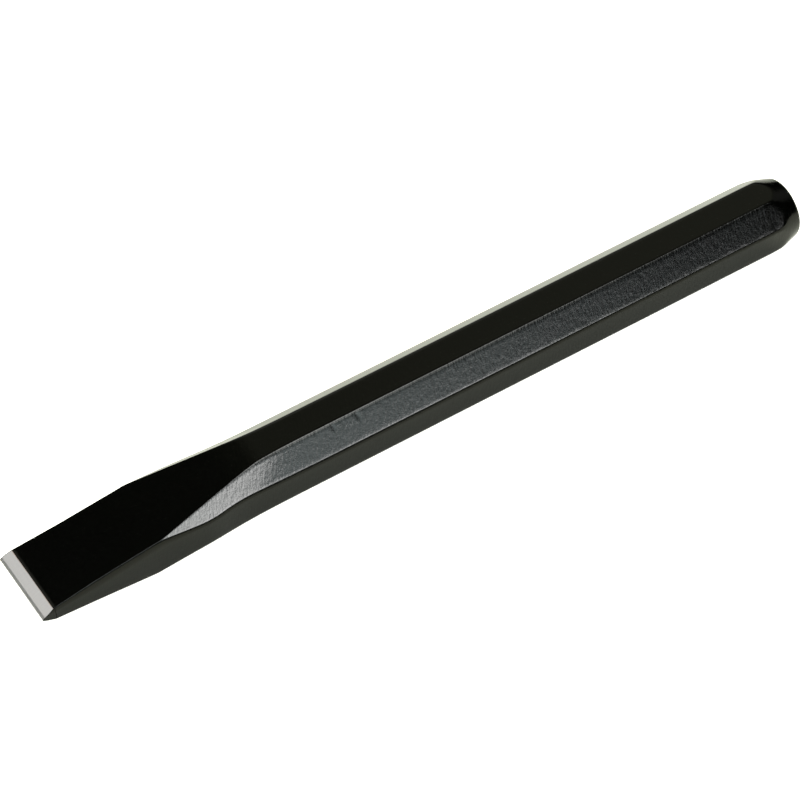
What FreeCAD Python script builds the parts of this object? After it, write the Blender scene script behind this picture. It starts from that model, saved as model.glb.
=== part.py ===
import FreeCAD, Part

import os

import Sketcher

# Cold chisel for cutting metal, 200 mm long with a 19 mm edge, forged from 17 mm octagonal bar.
#
# Frame: +X runs from the cutting edge to the struck head and +Z points up. The chisel lies on one
# flat of its shank, and the origin is on that flat's plane, half way along the tool.
#
# The chisel is two physical pieces: the forging itself, and the lacquer that covers all of it but
# the ground cutting bevels. Both are made from the same features. First comes the lacquered shape,
# then the same shape with every lacquered surface moved in by the lacquer's thickness, which is the
# bare steel. The lacquer is the first shape with the second one taken out of it.
#
# Each body is drawn with its cutting edge at X = 0 and its axis on the X axis.

DIMENSIONS = [
    # alias, value in mm, meaning
    ("length", 200.0, "cutting edge to struck face"),
    ("across_flats", 17.0, "shank, over its four main flats"),
    ("across_facets", 17.0, "shank, over its four corner facets"),
    ("shoulder", 56.4, "cutting edge to the shoulder, where the octagonal shank ends"),
    ("facet_end", 29.0, "cutting edge to where the corner facets run out"),
    ("neck_end", 47.6, "cutting edge to where the neck starts to narrow to the shank"),
    ("edge_width", 19.2, "blade width at the cutting edge"),
    ("facet_end_width", 18.2, "blade width where the corner facets run out"),
    ("neck_width", 17.5, "blade width at the neck's end"),
    ("tip_thickness", 3.0, "the blade faces' distance apart, if they ran on to the cutting edge"),
    ("edge_land", 0.2, "thickness left at the cutting edge itself"),
    ("second_bevel_length", 0.55, "narrow second bevel, along the axis"),
    ("second_bevel_thickness", 1.06, "thickness where the second bevel meets the main bevel"),
    ("bevel_length", 3.3, "main bevel, from the cutting edge, along the axis"),
    ("bevel_thickness", 3.81, "thickness where the main bevel meets the blade faces"),
    ("head_length", 6.4, "length of the chamfer round the head"),
    ("head_diameter", 18.4, "the chamfer's diameter at its start"),
    ("strike_diameter", 14.4, "the chamfer's diameter at the struck face"),
    ("strike_rounding", 1.1, "rounding round the struck face"),
    ("edge_ease", 0.065, "how far the long edges are eased back from sharp"),
    ("corner_ease", 0.09, "how far the blade's square corners are eased back from sharp"),
    ("lacquer", 0.1, "lacquer thickness"),
    ("clearance", 10.0, "how far the cutting profiles reach past the steel"),
]


def fill_sheet(document):
    """Put the driving dimensions in a sheet, one row each, with the alias that expressions use."""
    sheet = document.addObject("Spreadsheet::Sheet", "dims")
    for row, (alias, value, meaning) in enumerate(DIMENSIONS, start=1):
        sheet.set("A%d" % row, alias)
        sheet.set("B%d" % row, str(value))
        sheet.set("C%d" % row, meaning)
        sheet.setAlias("B%d" % row, alias)
    document.recompute()
    return sheet


def ground_plane(body):
    """The body's own plane through its X and Y axes."""
    return next(plane for plane in body.Origin.OriginFeatures if plane.Role == "XY_Plane")


def start_sketch(body, name, turn=0.0):
    """A sketch on the plane through the X and Y axes, turned about X by an angle in degrees."""
    sketch = body.newObject("Sketcher::SketchObject", name)
    sketch.AttachmentSupport = (ground_plane(body), [""])
    sketch.MapMode = "FlatFace"
    rotation = FreeCAD.Rotation(FreeCAD.Vector(1, 0, 0), turn)
    sketch.AttachmentOffset = FreeCAD.Placement(FreeCAD.Vector(), rotation)
    return sketch


def add_outline(sketch, corners):
    """Draw a closed outline. Each corner is a pair of expressions, its distances along X and Y."""
    places = [FreeCAD.Vector(sketch.evalExpression(across), sketch.evalExpression(up), 0)
              for across, up in corners]
    first = sketch.GeometryCount
    count = len(corners)
    for index in range(count):
        line = Part.LineSegment(places[index], places[(index + 1) % count])
        sketch.addGeometry(line, False)
    for index in range(count):
        line = first + index
        following = first + (index + 1) % count
        sketch.addConstraint(Sketcher.Constraint("Coincident", line, 2, following, 1))
    for index, (across, up) in enumerate(corners):
        for kind, expression, value in (("DistanceX", across, places[index].x),
                                        ("DistanceY", up, places[index].y)):
            number = sketch.addConstraint(Sketcher.Constraint(kind, -1, 1, first + index, 1, value))
            sketch.setExpression("Constraints[%d]" % number, expression)


def minus(expression):
    """The same size, measured the other way."""
    return "-(%s)" % expression


def mirrored_outline(upper):
    """The closed outline of an upper half, given from left to right, and its mirror image."""
    lower = [(across, minus(up)) for across, up in reversed(upper)]
    return upper + lower


def skinned(expression, skin):
    """A half size, less the skin that this body goes without."""
    return "(%s) - %s" % (expression, skin)


def corner_lines():
    """The corner above and left of the axis, as two lines that are one along the blade.

    The side line runs between the side flat and the corner facet, and the top line between the
    facet and the top flat or blade face. A point holds a distance along the tool, a half width
    and a half height, all as expressions.
    """
    facet_reach = "dims.across_facets / 2 * sqrt(2)"
    flat_end = "(%s - dims.across_flats / 2)" % facet_reach
    end_height = ("((dims.tip_thickness + (dims.across_flats - dims.tip_thickness)"
                  " * dims.facet_end / dims.shoulder) / 2)")
    end_reach = "(dims.facet_end_width / 2 + %s)" % end_height
    neck_share = "((dims.shoulder - dims.neck_end) / (dims.shoulder - dims.facet_end))"
    neck_height = ("(%s + (%s - %s) * %s - dims.neck_width / 2)"
                   % (facet_reach, end_reach, facet_reach, neck_share))
    past_head = "dims.length + dims.clearance"
    tip = ("0", "dims.edge_width / 2", "dims.tip_thickness / 2")
    facet_end = ("dims.facet_end", "dims.facet_end_width / 2", end_height)
    side_line = [
        tip,
        facet_end,
        ("dims.neck_end", "dims.neck_width / 2", neck_height),
        ("dims.shoulder", "dims.across_flats / 2", flat_end),
        (past_head, "dims.across_flats / 2", flat_end),
    ]
    top_line = [
        tip,
        facet_end,
        ("dims.shoulder", flat_end, "dims.across_flats / 2"),
        (past_head, flat_end, "dims.across_flats / 2"),
    ]
    return side_line, top_line


def reach_profile(line, angle, skin, eases):
    """How far a corner line reaches in one direction across the axis, point by point.

    The direction is an angle in degrees from level. Each point is eased back by its own amount.
    """
    profile = []
    for (along, width, height), ease in zip(line, eases):
        reach = "(%s) * cos(%s) + (%s) * sin(%s) - %s" % (width, angle, height, angle, ease)
        profile.append((along, skinned(reach, skin)))
    return profile


def add_blank(body, skin):
    """A plain slab of the bar's height and length, wider than the chisel."""
    half_height = skinned("dims.across_flats / 2", skin)
    sketch = start_sketch(body, "blank_outline_" + body.Name, 90)
    add_outline(sketch, mirrored_outline([("0", half_height), ("dims.length - %s" % skin, half_height)]))
    pad = body.newObject("PartDesign::Pad", "blank_" + body.Name)
    pad.Profile = sketch
    pad.Midplane = True
    pad.setExpression("Length", "dims.edge_width + dims.clearance")


def trim_outside(body, name, turn, upper):
    """Cut away all that lies outside a mirrored outline, seen square to a plane through the axis."""
    reach = "dims.edge_width + dims.clearance"
    start = "-dims.clearance"
    end = "dims.length + 2 * dims.clearance"
    sketch = start_sketch(body, name + "_outline_" + body.Name, turn)
    add_outline(sketch, [(start, reach), (end, reach), (end, minus(reach)), (start, minus(reach))])
    add_outline(sketch, mirrored_outline(upper))
    cut_through(body, name, sketch)


def trim_flats(body, skin):
    """Cut every long surface: flats, blade faces, corner facets and the eased edges between them."""
    side_line, top_line = corner_lines()
    flat = ["0"] * 5
    eased = ["dims.edge_ease"] * 5
    facet = ["dims.corner_ease", "dims.corner_ease", "0", "0"]
    trim_outside(body, "sides", 0, reach_profile(side_line, 0, skin, flat))
    trim_outside(body, "faces", 90, reach_profile(top_line, 90, skin, flat))
    for name, turn, line, angle, eases in (
            ("facets", 45, top_line, 45, facet),
            ("side_edges", 22.5, side_line, 22.5, eased),
            ("face_edges", 67.5, top_line, 67.5, eased)):
        trim_outside(body, name + "_left", turn, reach_profile(line, angle, skin, eases))
        trim_outside(body, name + "_right", 180 - turn, reach_profile(line, angle, skin, eases))


def cut_through(body, name, sketch):
    """A pocket through the whole body, both ways from the sketch."""
    body.Document.recompute()
    pocket = body.newObject("PartDesign::Pocket", name + "_" + body.Name)
    pocket.Profile = sketch
    pocket.Type = "ThroughAll"
    pocket.Midplane = True


def grind_bevels(body):
    """The main bevels and the narrow second bevels, ground through the lacquer on both faces."""
    rise = ("(dims.bevel_thickness - dims.second_bevel_thickness) / 2"
            " / (dims.bevel_length - dims.second_bevel_length)")
    run = "(2 * dims.bevel_length - dims.second_bevel_length)"
    top = "dims.second_bevel_thickness / 2 + %s * %s" % (rise, run)
    upper = [
        ("-dims.clearance", "dims.edge_land / 2"),
        ("0", "dims.edge_land / 2"),
        ("dims.second_bevel_length", "dims.second_bevel_thickness / 2"),
        ("2 * dims.bevel_length", top),
        ("-dims.clearance", top),
    ]
    sketch = start_sketch(body, "bevel_outline_" + body.Name, 90)
    add_outline(sketch, upper)
    add_outline(sketch, [(across, minus(up)) for across, up in upper])
    cut_through(body, "bevels", sketch)


def turn_head(body, skin):
    """The cone turned on the struck end, which takes the corners off the octagon."""
    start = "dims.length - dims.head_length"
    fall = "(dims.head_diameter - dims.strike_diameter) / 2 / dims.head_length"
    sketch = start_sketch(body, "head_outline_" + body.Name)
    add_outline(sketch, [
        (start, skinned("dims.head_diameter / 2", skin)),
        ("dims.length + dims.clearance / 5",
         skinned("dims.strike_diameter / 2 - %s * dims.clearance / 5" % fall, skin)),
        ("dims.length + dims.clearance / 5", "dims.edge_width"),
        (start, "dims.edge_width"),
    ])
    body.Document.recompute()
    groove = body.newObject("PartDesign::Groove", "head_chamfer_" + body.Name)
    groove.Profile = sketch
    groove.ReferenceAxis = (sketch, ["H_Axis"])
    groove.Angle = 360.0


def strike_edges(shape):
    """The circle round the struck face, which is the furthest face from the cutting edge."""
    struck = max(shape.Faces, key=lambda face: face.CenterOfMass.x)
    return struck.Edges


def round_edges(body, name, pick, radius):
    """Round the edges that a function picks from the body's latest shape."""
    body.Document.recompute()
    base = body.Tip
    chosen = pick(base.Shape)
    names = ["Edge%d" % number for number, edge in enumerate(base.Shape.Edges, start=1)
             if any(edge.isSame(other) for other in chosen)]
    fillet = body.newObject("PartDesign::Fillet", name + "_" + body.Name)
    fillet.Base = (base, names)
    fillet.setExpression("Radius", radius)


def make_forging(document, name, skin):
    """One chisel shape, with its lacquered surfaces moved in by the given skin."""
    body = document.addObject("PartDesign::Body", name)
    add_blank(body, skin)
    trim_flats(body, skin)
    turn_head(body, skin)
    round_edges(body, "strike_edge", strike_edges, skinned("dims.strike_rounding", skin))
    grind_bevels(body)
    body.setExpression("Placement.Base.x", "-dims.length / 2")
    body.setExpression("Placement.Base.z", "dims.across_flats / 2")
    return body


def make_lacquer(document, outside, steel):
    """The lacquer: all that lies between the finished outside and the bare steel."""
    lacquer = document.addObject("Part::Cut", "lacquer_coat")
    lacquer.Base = outside
    lacquer.Tool = steel
    return lacquer


def check_document(document, pieces):
    """Stop when any feature has failed, or when a piece is empty or faulty."""
    for item in document.Objects:
        if "Invalid" in item.State or "Error" in item.State:
            raise RuntimeError("%s failed: %s" % (item.Name, item.State))
    for piece in pieces:
        if piece.Shape.isNull() or not piece.Shape.isValid():
            raise RuntimeError("%s has no valid shape" % piece.Label)
        box = piece.Shape.BoundBox
        print("%-14s %d solid(s), %.2f mm3, %.2f x %.2f x %.2f mm"
              % (piece.Label, len(piece.Shape.Solids), piece.Shape.Volume,
                 box.XLength, box.YLength, box.ZLength))


def main():
    document = FreeCAD.newDocument("cold_chisel")
    fill_sheet(document)
    outside = make_forging(document, "lacquered_outside", "0")
    steel = make_forging(document, "forged_body", "dims.lacquer")
    lacquer = make_lacquer(document, outside, steel)
    pieces = [steel, lacquer]
    document.recompute()
    check_document(document, pieces)
    os.makedirs("parts", exist_ok=True)
    for piece in pieces:
        piece.Shape.exportStep("parts/%s.step" % piece.Label)


main()
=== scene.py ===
import math

import bmesh
import bpy
import numpy as np
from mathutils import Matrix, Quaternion, Vector, noise


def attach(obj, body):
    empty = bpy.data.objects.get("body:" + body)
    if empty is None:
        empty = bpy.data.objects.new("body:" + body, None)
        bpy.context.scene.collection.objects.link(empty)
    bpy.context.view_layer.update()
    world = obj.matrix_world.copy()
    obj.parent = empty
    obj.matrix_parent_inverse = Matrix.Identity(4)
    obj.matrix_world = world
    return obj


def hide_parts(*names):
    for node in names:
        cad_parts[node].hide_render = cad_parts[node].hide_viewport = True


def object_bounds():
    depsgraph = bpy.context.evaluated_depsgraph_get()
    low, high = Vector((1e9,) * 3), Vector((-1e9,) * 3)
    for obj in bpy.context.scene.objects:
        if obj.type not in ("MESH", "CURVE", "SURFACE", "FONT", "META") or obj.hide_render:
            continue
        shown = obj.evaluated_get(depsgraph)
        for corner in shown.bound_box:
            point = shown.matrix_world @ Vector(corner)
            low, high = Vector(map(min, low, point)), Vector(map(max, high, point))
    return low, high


# The cold chisel's looks. Shapes are worked out in millimetres in the chisel's own measure, with
# the cutting edge at X = 0 and the tool's axis on the X axis, and are then moved into the frame.

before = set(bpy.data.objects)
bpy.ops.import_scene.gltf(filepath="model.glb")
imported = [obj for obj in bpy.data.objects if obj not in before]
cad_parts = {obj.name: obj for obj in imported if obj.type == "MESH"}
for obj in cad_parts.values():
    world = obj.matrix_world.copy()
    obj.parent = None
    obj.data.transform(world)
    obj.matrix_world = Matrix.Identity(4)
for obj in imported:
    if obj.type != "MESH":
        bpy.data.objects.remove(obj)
CAD_LOW, CAD_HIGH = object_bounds()

MM = 0.001
SKIN = 0.1              # lacquer thickness
LENGTH = (CAD_HIGH.x - CAD_LOW.x) / MM
EDGE_HALF_WIDTH = (CAD_HIGH.y - CAD_LOW.y) / 2 / MM
HALF_FLATS = (CAD_HIGH.z - CAD_LOW.z) / 2 / MM

# ---------------------------------------------------------------- the forging's shape

HALF_FACETS = 8.5       # shank axis to a corner facet
SHOULDER = 56.4         # cutting edge to the shoulder
FACET_END = 29.0        # cutting edge to where the corner facets run out
TIP_HALF_HEIGHT = 1.5   # half the blade faces' distance apart, run on to the cutting edge
TAPER = (HALF_FLATS - TIP_HALF_HEIGHT) / SHOULDER
CROWN_START, CROWN_PEAK = 30.0, 50.5
FACE_CROWN = 0.13       # how far the blade faces bulge just before the shoulder
# The outline seen from above: distance from the cutting edge, and half the width there.
WIDTH_LINE = [(15.0, 9.22), (29.0, 9.06), (35.0, 9.22), (39.8, 9.32), (43.0, 9.24),
              (47.6, 8.64), (52.0, 8.37), (SHOULDER, 8.38), (72.0, HALF_FLATS)]
BLADE_DRIFT = Vector((-0.1, -0.4))   # how far the blade was drawn out off the axis at the edge
DRIFT_END = 54.0        # cutting edge to where the drift has faded out
EDGE_SKEW = 0.015       # the cutting edge is a little out of square
SKEW_END = 16.0         # cutting edge to where the skew has faded out
BEVEL_END = 3.3         # cutting edge to the bevels' upper ends
SECOND_BEVEL_END = 0.55
# The bevels seen from the side: distance from the cutting edge, and half the thickness there.
BEVEL_LINE = [(0.0, 0.1), (SECOND_BEVEL_END, 0.53),
              (BEVEL_END, TIP_HALF_HEIGHT + TAPER * BEVEL_END)]
BEVEL_EASE_END = 4.4    # from here on the lacquer's two sides are straight across from each other
BEVEL_RISE = (BEVEL_LINE[2][1] - BEVEL_LINE[1][1]) / (BEVEL_END - BEVEL_LINE[1][0])
STEEL_BEVEL_END = BEVEL_END - SKIN / (BEVEL_RISE - TAPER)    # the same on the bare steel

# Edge radii. An edge beside a side flat has an outer part, by the flat, and an inner part, by the
# facet, with a narrow land between them on which it hardly turns.
CORNER = 0.12           # the sharpest edges, beside the blade faces, lacquer included
TOP_ROUNDING = 1.3      # beside the shank's top and bottom flats
TOP_ROUNDING_SPAN = (46.0, 64.0)     # where the first becomes the second
BLADE_SIDE_ROUNDING = 3.2            # outer part, on the blade's upper edges, which are worn softer
LOWER_BLADE_SIDE_ROUNDING = 0.5      # the same on its lower edges
SIDE_ROUNDING = 1.0                  # the same on the shank
SOFT_CORNER = 0.3                    # inner part, on the blade
SHANK_SIDE_ROUNDING = (1.05, 0.2)    # the same on the shank, near the blade and near the head
SHANK_ROUNDING_SPAN = (90.0, 155.0)
SIDE_ROUNDING_SPAN = (44.0, 64.0)
SIDE_LAND = 5.2
SIDE_LAND_ANGLE, SIDE_LAND_SPREAD = 28.0, 2.8
SIDE_ANGLES = (0.0, 9.0, 17.0, 22.0, 25.5, 29.0, 32.5, 36.0, 40.0, 45.0)
TOP_ANGLES = (45.0, 52.0, 60.0, 67.5, 75.0, 83.0, 90.0)
HEAD_SHIFT = Vector((-0.2, -0.15))   # the struck end was dressed a little off the axis
FLARE_END = 27.8        # where the flared facets' planes would reach sharp blade edges
FLARE_END_WIDTH = 9.1
FLARE_TILT = math.radians(3.2)   # how much more the flared facets face sideways than the shank's
CREASE_SOFTNESS = 0.34   # how gently a flared facet runs into the shank's
CONE_START, CONE_RADIUS = 193.6, 9.2
HEAD_START = CONE_START - 1.6        # where the head's rings begin
STRIKE_RADIUS = 7.2
STRIKE_ROUNDING = 1.1
HEAD_BLEND = 0.24        # how gently the flats run into the head's cone


def broken_line(x, points, softness):
    """A line through points, run straight on before the first, with rounded corners."""
    (x0, v0), (x1, v1) = points[:2]
    before = (x0 - 50.0, v0 - 50.0 * (v1 - v0) / (x1 - x0))
    along, values = zip(before, *points)
    steps = np.linspace(-softness, softness, 11)
    return float(np.mean(np.interp(x + steps, along, values)))


def half_width(x):
    return broken_line(x, [(0.0, EDGE_HALF_WIDTH + BLADE_DRIFT.x - 0.02)] + WIDTH_LINE, 2.0)


def drift(x):
    """How far the blade's middle lies off the axis."""
    return BLADE_DRIFT * (1 - smooth_step(x, -DRIFT_END, DRIFT_END)) * 2


def half_height(x):
    points = [(0.0, TIP_HALF_HEIGHT), (CROWN_START, TIP_HALF_HEIGHT + TAPER * CROWN_START),
              (CROWN_PEAK, TIP_HALF_HEIGHT + TAPER * CROWN_PEAK + FACE_CROWN),
              (SHOULDER, HALF_FLATS)]
    return broken_line(x, points, 1.6)


def bevel_height(x):
    return float(np.interp(x, *zip(*BEVEL_LINE)))


def flare_plane():
    """The flared facet's plane: its normal and its distance from the origin."""
    flat = HALF_FACETS * math.sqrt(2) - HALF_FLATS
    top = Vector((SHOULDER, flat, HALF_FLATS))
    side = Vector((SHOULDER + 1.1, HALF_FLATS, flat))
    end_height = TIP_HALF_HEIGHT + TAPER * FLARE_END
    tip = Vector((FLARE_END, FLARE_END_WIDTH, end_height))
    normal = (side - top).cross(tip - top).normalized()
    if normal.y < 0:
        normal.negate()
    middle = (top + side + tip) / 3
    normal.rotate(Quaternion((1, 0, 0), -FLARE_TILT))
    return normal, normal.dot(middle)


FLARE_NORMAL, FLARE_DISTANCE = flare_plane()
FLARE_TURN = math.atan2(FLARE_NORMAL.z, FLARE_NORMAL.y)


def smooth_max(a, b, softness):
    return (a + b + math.sqrt((a - b) ** 2 + softness ** 2)) / 2


def smooth_min(a, b, softness):
    return (a + b - math.sqrt((a - b) ** 2 + softness ** 2)) / 2


def facet_reach(x, across):
    """Y + Z on the facet at a place along the tool and at a given Y - Z."""
    n = FLARE_NORMAL
    flare = (2 * (FLARE_DISTANCE - n.x * x) - (n.y - n.z) * across) / (n.y + n.z)
    shank = math.sqrt(2) * HALF_FACETS
    return smooth_max(flare, shank, CREASE_SOFTNESS)


def smooth_step(x, low, high):
    share = min(max((x - low) / (high - low), 0.0), 1.0)
    return share * share * (3 - 2 * share)


def heading(angle):
    """The outward direction at an angle up from the side, and the way round to the top."""
    out = Vector((math.cos(angle), math.sin(angle)))
    return out, Vector((-out.y, out.x))


def side_radius(angle, x, upper):
    """Radius of the edge beside a side flat, where its surface faces a given way."""
    degrees = math.degrees(angle)
    land = SIDE_LAND * math.exp(-((degrees - SIDE_LAND_ANGLE) / SIDE_LAND_SPREAD) ** 2)
    land *= smooth_step(x, FACET_END - 4.0, FACET_END + 10.0)
    on_shank = smooth_step(x, FACET_END - 4.0, FACET_END + 12.0)
    on_blade = BLADE_SIDE_ROUNDING if upper else LOWER_BLADE_SIDE_ROUNDING
    under = on_blade + (SIDE_ROUNDING - on_blade) * on_shank
    shank_rounding = float(np.interp(x, SHANK_ROUNDING_SPAN, SHANK_SIDE_ROUNDING))
    over = SOFT_CORNER + (shank_rounding - SOFT_CORNER) * smooth_step(x, *SIDE_ROUNDING_SPAN)
    return land + under + (over - under) * smooth_step(degrees, 30.0, 34.0)


def top_radius(angle, x):
    """Radius of the edge beside the top flat or a blade face."""
    return CORNER + (TOP_ROUNDING - CORNER) * smooth_step(x, *TOP_ROUNDING_SPAN)


def rounded_run(angles, radius):
    """Offsets along a rounding that turns through angles, with the radius at each one."""
    place = Vector((0.0, 0.0))
    made = [place.copy()]
    for low, high in zip(angles, angles[1:]):
        steps = 6
        for k in range(steps):
            angle = low + (high - low) * (k + 0.5) / steps
            place = place + heading(angle)[1] * (radius(angle) * (high - low) / steps)
        made.append(place.copy())
    return made


def tangent_lengths(run, first, last):
    """How far from a sharp corner a rounding starts and ends, along the lines that it joins."""
    t1, t2, across = heading(first)[1], heading(last)[1], run[-1]
    cross = t1.x * t2.y - t1.y * t2.x
    start = (across.x * t2.y - across.y * t2.x) / cross
    return start, (t1.x * across.y - t1.y * across.x) / cross


def rounded_quarter(x, counts, upper=True):
    """Points and outward directions round a quarter of the section, from side to top."""
    side_count, facet_count, top_count = counts
    wide, high = half_width(x), half_height(x)
    a = b = wide - high
    for _ in range(8):
        a = 2 * wide - facet_reach(x, a)
        b = facet_reach(x, b) - 2 * high
    low_corner = Vector((wide, wide - a))
    high_corner = Vector((b + high, high))
    facet = high_corner - low_corner
    has_facet = facet.y > 1e-6
    turn = math.atan2(-facet.x, facet.y) if has_facet else FLARE_TURN
    low_angles = [turn * angle / 45 for angle in SIDE_ANGLES]
    high_angles = [turn + (math.pi / 2 - turn) * (angle - 45) / 45 for angle in TOP_ANGLES]
    shrink = min(1.0, 0.5 * high / 1.6)
    low_run = rounded_run(low_angles, lambda angle: side_radius(angle, x, upper) * shrink)
    high_run = rounded_run(high_angles, lambda angle: top_radius(angle, x))
    if has_facet:
        low_back, low_on = tangent_lengths(low_run, 0.0, turn)
        high_back, high_on = tangent_lengths(high_run, turn, math.pi / 2)
        has_facet = facet.length > low_on + high_back
    if has_facet:
        low_start = low_corner - Vector((0.0, low_back))
        high_start = high_corner - heading(turn)[1] * high_back
        low_points = [low_start + step for step in low_run]
        high_points = [high_start + step for step in high_run]
    else:
        low_start = Vector((wide, high - low_run[-1].y - high_run[-1].y))
        low_points = [low_start + step for step in low_run]
        high_points = [low_points[-1] + step for step in high_run]
    made = []
    first = low_points[0]
    for k in range(side_count):
        made.append((Vector((first.x, first.y * k / side_count)), heading(0.0)[0]))
    made += [(p, heading(angle)[0]) for p, angle in zip(low_points, low_angles)]
    for k in range(1, facet_count):
        place = low_points[-1].lerp(high_points[0], k / facet_count)
        out = heading(turn)[0]
        if has_facet:
            rise = facet_reach(x, place.x - place.y) - place.x - place.y
            place = place + out * (rise / (out.x + out.y))
        made.append((place, out))
    made += [(p, heading(angle)[0]) for p, angle in zip(high_points, high_angles)]
    last = high_points[-1]
    for k in range(1, top_count + 1):
        made.append((Vector((last.x * (1 - k / top_count), last.y)), heading(math.pi / 2)[0]))
    return made


def half_ring(quarter):
    """Two quarters as (y, z, out_y, out_z), going round from +Y over +Z to -Y."""
    first = [(p.x, p.y, n.x, n.y) for p, n in quarter]
    return first + [(-y, z, -a, b) for y, z, a, b in reversed(first[:-1])]


def full_ring(x, counts):
    """All four quarters, going round from +Y to +Z."""
    upper = half_ring(rounded_quarter(x, counts))
    under = half_ring(rounded_quarter(x, counts, upper=False))
    return upper + [(y, -z, a, -b) for y, z, a, b in reversed(under[1:-1])]


def head_profile(skin, cone_count):
    """The head from the shank to the struck face's middle: X and the largest radius there."""
    fall = (CONE_RADIUS - STRIKE_RADIUS) / (LENGTH - CONE_START)
    slope = math.atan(fall)
    back = STRIKE_ROUNDING * math.tan((math.pi / 2 - slope) / 2)
    centre_x, centre_radius = LENGTH - STRIKE_ROUNDING, STRIKE_RADIUS - back
    arc_start = centre_x + STRIKE_ROUNDING * math.sin(slope)
    made = []
    for x in np.linspace(HEAD_START, arc_start, cone_count)[:-1]:
        made.append((float(x), CONE_RADIUS - fall * (float(x) - CONE_START)
                     - skin / math.cos(slope)))
    for k in range(11):
        angle = (math.pi / 2 - slope) * (1 - k / 10)
        made.append((centre_x + (STRIKE_ROUNDING - skin) * math.cos(angle),
                     centre_radius + (STRIKE_ROUNDING - skin) * math.sin(angle)))
    for share in (0.94, 0.86, 0.77, 0.67, 0.56, 0.45, 0.34, 0.23, 0.12):
        made.append((LENGTH - skin, centre_radius * share))
    return made


def under_bevel(x):
    """Where a place on the lacquer's outside has its partner on the lacquer's inside."""
    return float(np.interp(x, (0.0, BEVEL_END, BEVEL_EASE_END, LENGTH),
                           (0.0, STEEL_BEVEL_END, BEVEL_EASE_END, LENGTH)))


# ---------------------------------------------------------------- wear and forging marks

# Each dent: distance from the cutting edge, direction round the tool from +Y, radius and depth.
DENTS = [
    (75.3, 118.0, 0.42, 0.05),
    (81.5, 119.0, 0.5, 0.055),
    (121.0, -22.0, 0.5, 0.04),
    (150.5, 67.0, 0.6, 0.05),
    (96.0, 22.5, 0.6, 0.045),
    (178.0, -158.0, 0.5, 0.04),
    (41.0, 100.0, 0.6, 0.03),
]
WAVE_DEPTH = 0.012
ROLL_DEPTH = 0.006
HAMMER_MARKS = 14
HAMMER_REACH = 5.6      # from the struck face's middle to the outermost mark
HAMMER_DEPTH = 0.028
SPIRAL_TURN = 2.39996   # from one mark to the next, in radians, so that they spread evenly
WORN_LENGTH = 1.2       # how far the cutting edge's wear reaches up the bevels


def surface_drop(x, y, z):
    """How far the forged surface lies below the true shape: rolling waves, scale marks, dents."""
    wave = noise.noise(Vector((x / 17.0, y / 9.0, z / 9.0 + 4.0)))
    roll = noise.noise(Vector((x / 4.5 + 20.0, y / 3.2, z / 3.2)))
    drop = WAVE_DEPTH * (0.5 + 0.5 * wave) + ROLL_DEPTH * (0.5 + 0.5 * roll)
    radius = math.hypot(y, z)
    for along, turn, size, depth in DENTS:
        if abs(x - along) > 3 * size:
            continue
        angle = math.radians(turn)
        away = (x - along) ** 2 + (y - radius * math.cos(angle)) ** 2 \
            + (z - radius * math.sin(angle)) ** 2
        drop += depth * math.exp(-away / size ** 2)
    return drop


def strike_drop(y, z):
    """Hammer marks on the struck face."""
    drop = 0.0
    for index in range(HAMMER_MARKS):
        angle = index * SPIRAL_TURN
        reach = HAMMER_REACH * math.sqrt((index + 0.5) / HAMMER_MARKS)
        size = 0.9 + 0.5 * noise.noise(Vector((index * 3.7, 0.3, 0.1)))
        away = (y - reach * math.cos(angle)) ** 2 + (z - reach * math.sin(angle)) ** 2
        drop += HAMMER_DEPTH * math.exp(-away / size ** 2)
    return drop


# ---------------------------------------------------------------- meshes

JOIN_DISTANCE = 2e-7    # metres
CREASE_ANGLE = math.radians(28)


def make_rings(stations, counts, skin, inside=False):
    """Rings of points along the tool, a skin below the outside, and which lie on the bevels."""
    places, ground = [], []
    for x, limit in stations:
        at = under_bevel(x) if inside else x
        on_face = limit is not None and at > LENGTH - skin - 1e-6
        ring, flags = [], []
        for y, z, a, b in full_ring(min(at, LENGTH), counts):
            y, z = y - skin * a, z - skin * b
            if limit is not None:
                centre = HEAD_SHIFT * smooth_step(at, HEAD_START, LENGTH)
                away = Vector((y, z)) - centre
                blend = min(HEAD_BLEND, 0.2 * limit)
                spot = centre + away * (smooth_min(away.length, limit, blend) / away.length)
                y, z = spot.x, spot.y
            if on_face:
                spot = (at - strike_drop(y, z), y, z)
            else:
                drop = surface_drop(at, y, z)
                spot = (at, y - drop * a, z - drop * b)
            high = bevel_height(at) if at <= BEVEL_END else math.inf
            clipped = max(-high, min(high, spot[2]))
            flags.append(x <= BEVEL_END + 1e-9 and abs(z) >= high - 1e-6)
            aside = drift(at)
            skew = EDGE_SKEW * (EDGE_HALF_WIDTH - y) * (1 - smooth_step(at, 0.0, SKEW_END))
            ring.append((spot[0] + skew, spot[1] + aside.x, clipped + aside.y))
        places.append(ring)
        ground.append(flags)
    return np.array(places), np.array(ground)


def in_frame(points):
    """Millimetres in the chisel's own measure, moved to metres in the frame."""
    moved = np.array(points, float) * MM
    moved[:, 0] += CAD_LOW.x
    moved[:, 2] += (CAD_LOW.z + CAD_HIGH.z) / 2
    return moved


def ring_faces(rows, around, first=0):
    """Quads between neighbouring rings, facing outwards."""
    faces = []
    for i in range(rows - 1):
        for j in range(around):
            k = (j + 1) % around
            faces.append((first + i * around + j, first + i * around + k,
                          first + (i + 1) * around + k, first + (i + 1) * around + j))
    return faces


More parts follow.
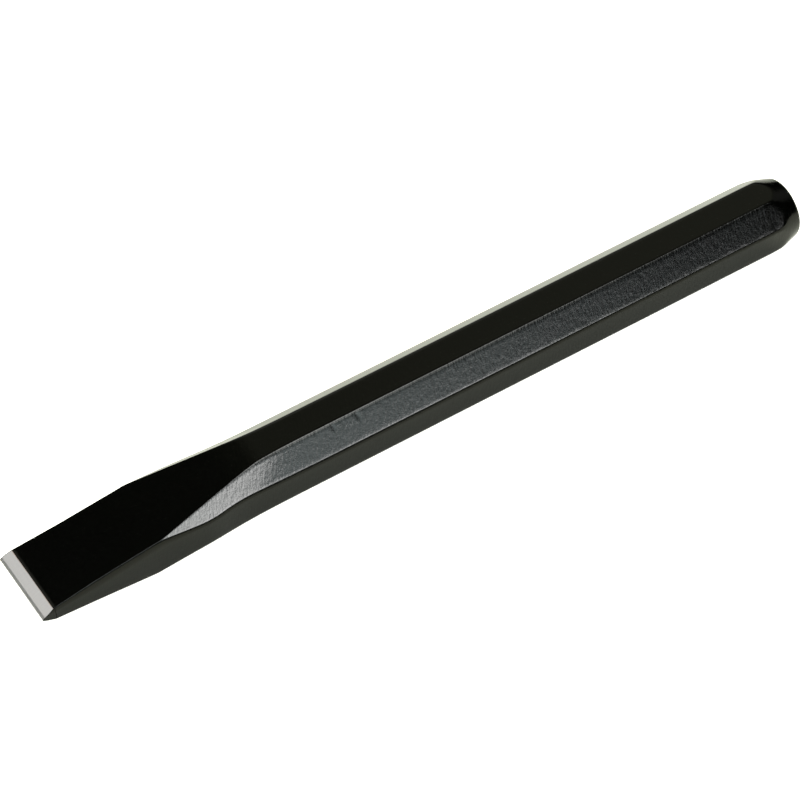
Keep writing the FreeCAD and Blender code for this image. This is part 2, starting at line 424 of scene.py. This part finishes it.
def finish_mesh(name, points, faces, material):
    """A smooth object from points and faces, with coinciding points joined."""
    mesh = bpy.data.meshes.new(name)
    mesh.from_pydata(in_frame(points).tolist(), [], faces)
    made = bmesh.new()
    made.from_mesh(mesh)
    bmesh.ops.remove_doubles(made, verts=made.verts, dist=JOIN_DISTANCE)
    bmesh.ops.dissolve_degenerate(made, edges=made.edges, dist=JOIN_DISTANCE)
    bmesh.ops.recalc_face_normals(made, faces=made.faces)
    for face in made.faces:
        face.smooth = True
    for edge in made.edges:
        if len(edge.link_faces) == 2 and edge.calc_face_angle(0.0) > CREASE_ANGLE:
            edge.smooth = False
    made.to_mesh(mesh)
    made.free()
    piece = bpy.data.objects.new(name, mesh)
    bpy.context.scene.collection.objects.link(piece)
    mesh.materials.append(material)
    return piece


def shank_stations(start, end, step, fine_spots=()):
    """Places along the tool, closer together near the given spots."""
    made = [start]
    while made[-1] < end - 1e-6:
        x = made[-1]
        near = min([abs(x - spot) for spot in fine_spots] + [math.inf])
        made.append(min(x + (step if near > 1.6 else 0.16), end))
    if len(made) > 2 and made[-1] - made[-2] < 0.3 * step:
        del made[-2]
    return made


def lacquer_mesh(material):
    """The lacquer: a thin shell over everything but the ground bevels."""
    counts = (5, 9, 7)
    along = list(np.linspace(0.0, BEVEL_END, 20)) + [3.1, 3.35, 3.65, BEVEL_EASE_END]
    along += shank_stations(BEVEL_EASE_END, HEAD_START, 0.75, [d[0] for d in DENTS])[1:-1]
    plain = [(float(x), None) for x in along]
    outside, ground = make_rings(plain + head_profile(0.0, 40), counts, 0.0)
    inside, _ = make_rings(plain + head_profile(SKIN, 40), counts, SKIN, inside=True)
    rows, around = ground.shape
    total = rows * around
    flags = ground.reshape(-1)
    outer = [face for face in ring_faces(rows, around) if not all(flags[v] for v in face)]
    last = (rows - 1) * around
    edges = {}
    for face in outer:
        for k in range(4):
            a, b = face[k], face[(k + 1) % 4]
            edges[(a, b)] = edges.get((a, b), 0) + 1
    rims = [(b, a, a + total, b + total) for a, b in edges
            if (b, a) not in edges and a < last]
    inner = [tuple(v + total for v in reversed(face)) for face in outer]
    points = list(outside.reshape(-1, 3)) + list(inside.reshape(-1, 3))
    for index, skin in ((0, 0.0), (1, SKIN)):
        points.append((LENGTH - skin - strike_drop(*HEAD_SHIFT), *HEAD_SHIFT))
    outer_middle, inner_middle = 2 * total, 2 * total + 1
    caps = [(last + j, last + (j + 1) % around, outer_middle) for j in range(around)]
    caps += [(total + last + (j + 1) % around, total + last + j, inner_middle)
             for j in range(around)]
    return finish_mesh("black_lacquer", points, outer + inner + rims + caps, material)


def steel_mesh(material):
    """The bare forging under the lacquer, with its ground bevels and its cutting edge."""
    counts = (4, 4, 44)
    along = list(np.linspace(0.0, SECOND_BEVEL_END, 6))
    along += list(np.linspace(SECOND_BEVEL_END, STEEL_BEVEL_END, 18))[1:]
    along += [2.9, 3.4] + shank_stations(4.0, HEAD_START, 1.6, [d[0] for d in DENTS])[:-1]
    stations = [(float(x), None) for x in along] + head_profile(SKIN, 24)
    rings, _ = make_rings(stations, counts, SKIN)
    rows, around = rings.shape[:2]
    for i, x in enumerate(along):
        if x > WORN_LENGTH:
            break
        fade = 1 - x / WORN_LENGTH
        for j in range(around):
            y = rings[i, j, 1]
            uneven = 0.5 + 0.5 * noise.noise(Vector((y / 0.9, 7.0, 0.0)))
            chip = max(0.0, noise.noise(Vector((y / 0.35, 3.0, 9.0))) - 0.45)
            rings[i, j, 0] += fade * (0.03 * uneven + 0.12 * chip)
    points = list(rings.reshape(-1, 3))
    faces = ring_faces(rows, around)
    half = around // 2
    for j in range(half):
        a, b = j, j + 1
        faces.append((a, (around - a) % around, (around - b) % around, b))
    last = (rows - 1) * around
    points.append((LENGTH - SKIN - strike_drop(*HEAD_SHIFT), *HEAD_SHIFT))
    faces += [(last + j, last + (j + 1) % around, len(points) - 1) for j in range(around)]
    # The first and last strips across the cutting edge meet in a point, so they are triangles.
    faces = [tuple(dict.fromkeys(face)) for face in faces]
    return finish_mesh("ground_steel", points, faces, material)


# ---------------------------------------------------------------- materials

class Nodes:
    """A small helper that adds shader nodes and joins them."""

    def __init__(self, tree):
        self.tree = tree
        tree.nodes.clear()

    def add(self, kind, **settings):
        node = self.tree.nodes.new(kind)
        for name, value in settings.items():
            setattr(node, name, value)
        return node

    def join(self, source, target):
        self.tree.links.new(source, target)

    def feed(self, socket, value):
        """Give a socket either a number or another node's output."""
        if isinstance(value, (int, float, tuple)):
            socket.default_value = value
        else:
            self.join(value, socket)

    def maths(self, operation, a, b=0.0, c=None):
        node = self.add("ShaderNodeMath", operation=operation)
        self.feed(node.inputs[0], a)
        self.feed(node.inputs[1], b)
        if c is not None:
            self.feed(node.inputs[2], c)
        return node.outputs[0]

    def band(self, value, low, high, to_low=0.0, to_high=1.0):
        """A smooth step from one value to another."""
        node = self.add("ShaderNodeMapRange", interpolation_type="SMOOTHSTEP")
        self.feed(node.inputs["Value"], value)
        node.inputs["From Min"].default_value = low
        node.inputs["From Max"].default_value = high
        node.inputs["To Min"].default_value = to_low
        node.inputs["To Max"].default_value = to_high
        return node.outputs["Result"]

    def millimetres(self, stretch=(1.0, 1.0, 1.0), turn=(0.0, 0.0, 0.0)):
        """Object coordinates in millimetres, turned and then stretched along each axis."""
        place = self.add("ShaderNodeTexCoord").outputs["Object"]
        if any(turn):
            rotate = self.add("ShaderNodeMapping")
            rotate.inputs["Rotation"].default_value = turn
            self.join(place, rotate.inputs["Vector"])
            place = rotate.outputs["Vector"]
        scale = self.add("ShaderNodeMapping")
        scale.inputs["Scale"].default_value = tuple(1.0 / MM / s for s in stretch)
        self.join(place, scale.inputs["Vector"])
        return scale.outputs["Vector"]

    def noise(self, place, scale, detail=2.0, roughness=0.5):
        node = self.add("ShaderNodeTexNoise")
        self.join(place, node.inputs["Vector"])
        node.inputs["Scale"].default_value = scale
        node.inputs["Detail"].default_value = detail
        node.inputs["Roughness"].default_value = roughness
        return node.outputs["Fac"]

    def dot(self, a, b):
        """The dot product of a node's output and a fixed vector."""
        node = self.add("ShaderNodeVectorMath", operation="DOT_PRODUCT")
        self.join(a, node.inputs[0])
        node.inputs[1].default_value = tuple(b)
        return node.outputs["Value"]

    def mix(self, share, a, b):
        """A colour between two others."""
        node = self.add("ShaderNodeMix", data_type="RGBA")
        self.feed(node.inputs[0], share)
        self.feed(node.inputs[6], a)
        self.feed(node.inputs[7], b)
        return node.outputs[2]

    def bump(self, height, depth, normal=None):
        """A bump whose height runs over a depth in millimetres."""
        node = self.add("ShaderNodeBump")
        node.inputs["Strength"].default_value = 1.0
        node.inputs["Distance"].default_value = depth * MM
        self.join(height, node.inputs["Height"])
        if normal is not None:
            self.join(normal, node.inputs["Normal"])
        return node.outputs["Normal"]


def new_material(name):
    material = bpy.data.materials.new(name)
    material.use_nodes = True
    nodes = Nodes(material.node_tree)
    shader = nodes.add("ShaderNodeBsdfPrincipled")
    output = nodes.add("ShaderNodeOutputMaterial")
    nodes.join(shader.outputs["BSDF"], output.inputs["Surface"])
    return material, nodes, shader


def lacquer_material():
    """Glossy black lacquer with a fine orange peel and faint linishing marks across the bar."""
    material, nodes, shader = new_material("black_lacquer")
    plain = nodes.millimetres()
    across = nodes.millimetres(stretch=(0.9, 4.5, 4.5), turn=(0.0, 0.0, math.radians(25)))
    peel = nodes.noise(plain, 0.9, 3.0, 0.55)
    fine = nodes.noise(plain, 3.2, 2.0, 0.5)
    lines = nodes.noise(across, 2.4, 3.0, 0.6)
    cloud = nodes.noise(plain, 0.16, 3.0, 0.6)
    speckle = nodes.band(nodes.noise(plain, 1.7, 3.0, 0.7), 0.3, 0.75)
    patchy = nodes.maths("MULTIPLY_ADD", speckle, 0.7, nodes.maths("MULTIPLY", cloud, 0.3))
    shade = nodes.mix(patchy,
                      (0.00012, 0.00015, 0.0001, 1.0), (0.0006, 0.0007, 0.0005, 1.0))
    nodes.join(shade, shader.inputs["Base Color"])
    uneven = nodes.maths("MULTIPLY_ADD", lines, 0.5, nodes.maths("MULTIPLY", fine, 0.5))
    nodes.join(nodes.band(uneven, 0.2, 0.8, 0.10, 0.145), shader.inputs["Roughness"])
    shader.inputs["IOR"].default_value = 1.5
    shader.inputs["Specular IOR Level"].default_value = 0.2
    shader.inputs["Specular Tint"].default_value = (1.0, 1.0, 0.86, 1.0)
    normal = nodes.bump(peel, 0.014)
    normal = nodes.bump(lines, 0.028, normal)
    normal = nodes.bump(fine, 0.004, normal)
    nodes.join(normal, shader.inputs["Normal"])
    return material


def steel_material():
    """Bright ground steel: fine grinding lines, and a warm temper tint beside the lacquer."""
    material, nodes, shader = new_material("ground_steel")
    lines = nodes.noise(nodes.millimetres(stretch=(6.0, 0.12, 6.0)), 1.0, 4.0, 0.65)
    fine = nodes.noise(nodes.millimetres(stretch=(3.0, 0.05, 3.0)), 1.0, 2.0, 0.5)
    cloud = nodes.noise(nodes.millimetres(), 0.35, 3.0, 0.6)
    place = nodes.add("ShaderNodeSeparateXYZ")
    nodes.join(nodes.add("ShaderNodeTexCoord").outputs["Object"], place.inputs[0])
    along = nodes.maths("DIVIDE", nodes.maths("SUBTRACT", place.outputs["X"], CAD_LOW.x), MM)
    near = nodes.maths("MULTIPLY_ADD", place.outputs["Y"], -1.0 / MM, EDGE_HALF_WIDTH)
    along = nodes.maths("MULTIPLY_ADD", near, -EDGE_SKEW, along)
    wander = nodes.maths("MULTIPLY_ADD", cloud, 0.3, along)
    warm = nodes.band(wander, BEVEL_END - 0.5, BEVEL_END - 0.15)
    bare = nodes.mix(lines, (0.64, 0.635, 0.615, 1.0), (0.78, 0.775, 0.755, 1.0))
    tinted = nodes.mix(nodes.maths("MULTIPLY", warm, 0.75), bare, (0.50, 0.27, 0.11, 1.0))
    nodes.join(tinted, shader.inputs["Base Color"])
    shader.inputs["Metallic"].default_value = 1.0
    nodes.join(nodes.band(lines, 0.2, 0.8, 0.27, 0.40), shader.inputs["Roughness"])
    normal = nodes.bump(lines, 0.004)
    normal = nodes.bump(fine, 0.004, normal)
    nodes.join(normal, shader.inputs["Normal"])
    return material


# ---------------------------------------------------------------- the studio

FLOOR_LIFT = 0.8        # extra whiteness of the floor, so that contact shadows stay faint
SUN_ANGLE = math.radians(34)
CAMERA_AZIMUTH, CAMERA_ELEVATION = -31.094, 51.441
CAMERA_DISTANCE = 0.69035
CAMERA_TILT = math.radians(-1.498)
CAMERA_LENS = 140.17
AIM_OFFSET = Vector((-4.99, -0.04, -0.747))   # from the chisel's middle, in millimetres


def way(azimuth, elevation):
    """A direction: azimuth from -Y towards +X and elevation, both in degrees."""
    a, e = math.radians(azimuth), math.radians(elevation)
    return Vector((math.sin(a) * math.cos(e), -math.cos(a) * math.cos(e), math.sin(e)))


def soft_patch(nodes, direction, centre, wide, high, softness, strength):
    """An oval light in the surroundings, half as bright at its half width and half height."""
    side = Vector((0.0, 0.0, 1.0)).cross(centre).normalized()
    up = centre.cross(side)
    reach = 0.0
    for axis, half in ((side, wide), (up, high)):
        along = nodes.dot(direction, axis / math.sin(math.radians(half)))
        reach = nodes.maths("MULTIPLY_ADD", along, along, reach)
    reach = nodes.maths("SQRT", reach)
    shape = nodes.band(reach, 1 + softness, 1 - softness, 0.0, strength)
    ahead = nodes.maths("GREATER_THAN", nodes.dot(direction, centre), 0.0)
    return nodes.maths("MULTIPLY", shape, ahead)


def make_surroundings():
    """A dim room with soft light boxes, and a plain pale backdrop for the camera."""
    world = bpy.data.worlds.new("studio")
    bpy.context.scene.world = world
    world.use_nodes = True
    nodes = Nodes(world.node_tree)
    direction = nodes.add("ShaderNodeTexCoord").outputs["Generated"]
    patches = [
        # centre, half width and half height in degrees, softness, strength, colour
        # The key box, low in front, with its glow above and below it.
        (way(22.5, 23.6), 7.0, 4.4, 0.45, 37.0, (0.95, 0.96, 1.09)),
        (way(8.0, 33.6), 12.0, 7.0, 0.55, 7.9, (0.82, 0.95, 1.10)),
        (way(14.0, 12.6), 9.0, 6.0, 0.55, 2.0, (0.90, 0.95, 1.10)),
        # The overhead box, in two halves.
        (Vector((0.20, -0.19, 0.95)), 10.0, 9.0, 0.55, 22.0, (0.97, 1.0, 1.10)),
        (Vector((0.16, -0.59, 0.78)), 9.0, 9.0, 0.55, 20.0, (0.95, 1.0, 1.12)),
        # The box behind that the ground bevel faces, and a dim fill for the flat on top.
        (way(-120.0, 51.0), 22.0, 22.0, 0.55, 1.04, (1.0, 0.99, 0.97)),
        (Vector((0.48, 0.47, 0.74)), 17.0, 17.0, 0.8, 0.5, (1.0, 1.02, 0.84)),
        # Dim boxes for the sides that face away from the camera.
        (way(178.0, 33.0), 26.0, 12.0, 0.55, 1.5, (1.0, 1.0, 1.0)),
        (way(96.0, 30.0), 14.0, 12.0, 0.55, 0.25, (1.0, 1.0, 1.0)),
        (way(-84.0, 24.0), 14.0, 12.0, 0.55, 0.4, (1.0, 1.0, 1.0)),
    ]
    total = None
    for centre, wide, high, softness, strength, colour in patches:
        patch = soft_patch(nodes, direction, centre.normalized(), wide, high, softness, strength)
        tinted = nodes.add("ShaderNodeVectorMath", operation="SCALE")
        tinted.inputs[0].default_value = colour
        nodes.join(patch, tinted.inputs["Scale"])
        if total is None:
            total = tinted.outputs[0]
        else:
            both = nodes.add("ShaderNodeVectorMath", operation="ADD")
            nodes.join(total, both.inputs[0])
            nodes.join(tinted.outputs[0], both.inputs[1])
            total = both.outputs[0]
    room = nodes.add("ShaderNodeVectorMath", operation="ADD")
    nodes.join(total, room.inputs[0])
    room.inputs[1].default_value = (0.002, 0.002, 0.0017)
    lit = nodes.add("ShaderNodeBackground")
    nodes.join(room.outputs[0], lit.inputs["Color"])
    backdrop = nodes.add("ShaderNodeBackground")
    backdrop.inputs["Color"].default_value = (0.95, 0.95, 0.945, 1.0)
    choice = nodes.add("ShaderNodeMixShader")
    nodes.join(nodes.add("ShaderNodeLightPath").outputs["Is Camera Ray"], choice.inputs["Fac"])
    nodes.join(lit.outputs[0], choice.inputs[1])
    nodes.join(backdrop.outputs[0], choice.inputs[2])
    output = nodes.add("ShaderNodeOutputWorld")
    nodes.join(choice.outputs[0], output.inputs["Surface"])


def make_sun(name, energy, azimuth, elevation):
    """A broad soft light that whitens the floor."""
    lamp = bpy.data.lights.new(name, "SUN")
    lamp.energy = energy
    lamp.angle = SUN_ANGLE
    lamp.color = (1.0, 1.0, 0.98)
    sun = bpy.data.objects.new(name, lamp)
    sun.rotation_mode = "QUATERNION"
    sun.rotation_quaternion = way(azimuth, elevation).to_track_quat("Z", "Y")
    sun.visible_glossy = False
    bpy.context.scene.collection.objects.link(sun)


def make_floor():
    """A large plain pale floor, just under the chisel."""
    mesh = bpy.data.meshes.new("floor")
    reach, height = 6.0, CAD_LOW.z - 0.00002
    mesh.from_pydata([(-reach, -reach, height), (reach, -reach, height),
                      (reach, reach, height), (-reach, reach, height)], [], [(0, 1, 2, 3)])
    floor = bpy.data.objects.new("floor", mesh)
    bpy.context.scene.collection.objects.link(floor)
    material, nodes, shader = new_material("floor")
    shader.inputs["Base Color"].default_value = (0.60, 0.605, 0.49, 1.0)
    shader.inputs["Roughness"].default_value = 0.9
    shader.inputs["Specular IOR Level"].default_value = 0.1
    shader.inputs["Emission Color"].default_value = (1.0, 1.0, 0.98, 1.0)
    seen = nodes.add("ShaderNodeLightPath").outputs["Is Camera Ray"]
    nodes.join(nodes.maths("MULTIPLY", seen, FLOOR_LIFT), shader.inputs["Emission Strength"])
    mesh.materials.append(material)


def make_camera():
    """The camera: a long lens, high in front of the blade's side, with a slight tilt."""
    data = bpy.data.cameras.new("camera")
    camera = bpy.data.objects.new("camera", data)
    bpy.context.scene.collection.objects.link(camera)
    back = way(CAMERA_AZIMUTH, CAMERA_ELEVATION)
    aim = (CAD_LOW + CAD_HIGH) / 2 + AIM_OFFSET * MM
    camera.location = aim + back * CAMERA_DISTANCE
    camera.rotation_mode = "QUATERNION"
    upright = (-back).to_track_quat("-Z", "Y")
    camera.rotation_quaternion = upright @ Quaternion((0, 0, 1), CAMERA_TILT)
    data.sensor_width = 36.0
    data.lens = CAMERA_LENS
    data.clip_start, data.clip_end = 0.01, 50.0
    bpy.context.scene.camera = camera


make_camera()
make_surroundings()
make_sun("front_light", 0.3, -16, 60)
make_sun("back_light", 4.0, 160, 45)
make_floor()

lacquer = lacquer_mesh(lacquer_material())
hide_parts("lacquer_coat")
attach(lacquer, "root")

steel = steel_mesh(steel_material())
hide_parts("forged_body")
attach(steel, "root")

bpy.context.scene.view_settings.view_transform = "Standard"
